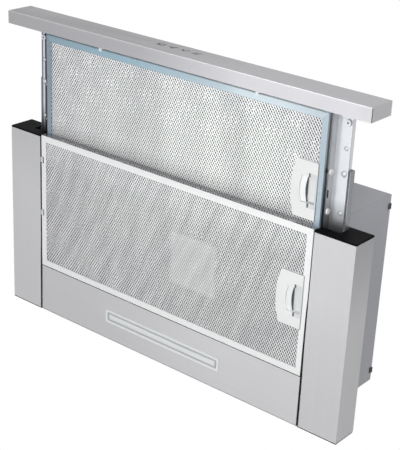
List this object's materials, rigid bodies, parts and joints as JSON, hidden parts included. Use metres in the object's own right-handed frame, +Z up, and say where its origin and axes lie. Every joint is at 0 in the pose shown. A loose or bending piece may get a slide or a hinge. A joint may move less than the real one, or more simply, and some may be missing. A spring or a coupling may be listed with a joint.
{
  "type": "range hood",
  "caption": "Slim pull-out range hood: steel bar and filter tray on slides, grease filters, lamp panel, side trims, fan casing and top duct spigot.",
  "frame": {"origin": "centre of the footprint with the tray drawn out, on the plane of the underside", "axes": "+X to the right seen from the room, +Y towards the wall, +Z up"},
  "size_m": [0.598, 0.445, 0.206],
  "materials": {
    "galvanised": "galvanised sheet, dull grey",
    "stainless": "brushed stainless sheet",
    "zinc": "bright zinc plate",
    "fastener": "bright plated",
    "black_plastic": "fine moulded grain",
    "black_steel": "black",
    "white_plastic": "satin white",
    "lens": "clear ribbed",
    "reflector": "white gloss",
    "circuit_board": "solder mask",
    "motor_steel": "machined",
    "filter_frame": "white lacquer",
    "film_frame": "pale blue protective film",
    "filter_mesh": "expanded bright mesh",
    "button": "brushed"
  },
  "bodies": {
    "root": {"casing_shell": "galvanised", "side_panel_left": "galvanised", "side_panel_right": "galvanised", "side_trim_left": "stainless", "side_trim_right": "stainless", "front_cap_left": "black_plastic", "front_cap_right": "black_plastic", "rear_cap_left": "black_plastic", "rear_cap_right": "black_plastic", "light_panel": "stainless", "lamp_bezel": "white_plastic", "lamp_lens": "lens", "lamp_reflector": "reflector", "led_board": "circuit_board", "slide_outer_left": "zinc", "slide_outer_right": "zinc", "fan_housing_left": "white_plastic", "fan_housing_right": "white_plastic", "motor": "motor_steel", "outlet_collar": "black_plastic", "terminal_box": "black_plastic", "terminal_box_lid": "black_plastic", "motor_capacitor": "white_plastic", "cable_gland": "black_plastic", "filter_hooks": "zinc", "casing_clips": "black_steel", "casing_screws": "fastener"},
    "tray": {"front_bar": "stainless", "bar_end_left": "stainless", "bar_end_right": "stainless", "bar_back_plate": "zinc", "control_board": "circuit_board", "tray_rail_left": "zinc", "tray_rail_right": "zinc", "slide_inner_left": "zinc", "slide_inner_right": "zinc", "tray_rear_strip": "zinc", "tray_filter_frame": "film_frame", "tray_filter_mesh": "filter_mesh", "tray_filter_grip": "white_plastic", "filter_pads": "white_plastic", "rail_fasteners": "fastener", "front_clips": "white_plastic"},
    "middle_slide_left": {"slide_middle_left": "zinc", "ball_cages_left": "zinc"},
    "middle_slide_right": {"slide_middle_right": "zinc", "ball_cages_right": "zinc"},
    "fixed_filter": {"fixed_filter_frame": "filter_frame", "fixed_filter_mesh": "filter_mesh", "fixed_filter_grip": "white_plastic"},
    "fixed_latch": {"fixed_filter_latch": "white_plastic"},
    "tray_latch": {"tray_filter_latch": "white_plastic"},
    "fan_wheel": {"impeller": "black_plastic", "motor_shaft": "fastener"},
    "flap_left": {"flap_left": "black_plastic"},
    "flap_right": {"flap_right": "black_plastic"},
    "button_1": {"button_1": "button"},
    "button_2": {"button_2": "button"},
    "button_3": {"button_3": "button"},
    "button_4": {"button_4": "button"}
  },
  "joints": [
    {"name": "tray_slide", "type": "slide", "parent": "root", "child": "tray", "axis": [0, 1, 0], "range_m": [0, 0.149]},
    {"name": "middle_slide_left_run", "type": "slide", "parent": "root", "child": "middle_slide_left", "axis": [0, 1, 0], "range_m": [0, 0.0745]},
    {"name": "middle_slide_right_run", "type": "slide", "parent": "root", "child": "middle_slide_right", "axis": [0, 1, 0], "range_m": [0, 0.0745]},
    {"name": "fixed_filter_hinge", "type": "hinge", "parent": "root", "child": "fixed_filter", "pos_m": [-0.2338, 0.047, 0.0022], "axis": [0, 1, 0], "range_deg": [0, 75]},
    {"name": "fixed_latch_pull", "type": "slide", "parent": "fixed_filter", "child": "fixed_latch", "axis": [-1, 0, 0], "range_m": [0, 0.0045], "stiffness_N_per_m": 400, "springref_m": -0.003},
    {"name": "tray_latch_pull", "type": "slide", "parent": "tray", "child": "tray_latch", "axis": [-1, 0, 0], "range_m": [0, 0.0045], "stiffness_N_per_m": 400, "springref_m": -0.003},
    {"name": "fan_spin", "type": "hinge", "parent": "root", "child": "fan_wheel", "pos_m": [0, 0.0645, 0.112], "axis": [1, 0, 0], "continuous": true},
    {"name": "flap_left_hinge", "type": "hinge", "parent": "root", "child": "flap_left", "pos_m": [0, 0.106, 0.18], "axis": [0, 1, 0], "range_deg": [0, 75]},
    {"name": "flap_right_hinge", "type": "hinge", "parent": "root", "child": "flap_right", "pos_m": [0, 0.106, 0.18], "axis": [0, -1, 0], "range_deg": [0, 75]},
    {"name": "button_1_press", "type": "slide", "parent": "tray", "child": "button_1", "axis": [0, 1, 0], "range_m": [0, 0.001], "stiffness_N_per_m": 800, "springref_m": -0.0005},
    {"name": "button_2_press", "type": "slide", "parent": "tray", "child": "button_2", "axis": [0, 1, 0], "range_m": [0, 0.001], "stiffness_N_per_m": 800, "springref_m": -0.0005},
    {"name": "button_3_press", "type": "slide", "parent": "tray", "child": "button_3", "axis": [0, 1, 0], "range_m": [0, 0.001], "stiffness_N_per_m": 800, "springref_m": -0.0005},
    {"name": "button_4_press", "type": "slide", "parent": "tray", "child": "button_4", "axis": [0, 1, 0], "range_m": [0, 0.001], "stiffness_N_per_m": 800, "springref_m": -0.0005}
  ],
  "couplings": [
    {"joint": "middle_slide_left_run", "follows": "tray_slide", "ratio": 0.5},
    {"joint": "middle_slide_right_run", "follows": "tray_slide", "ratio": 0.5}
  ]
}
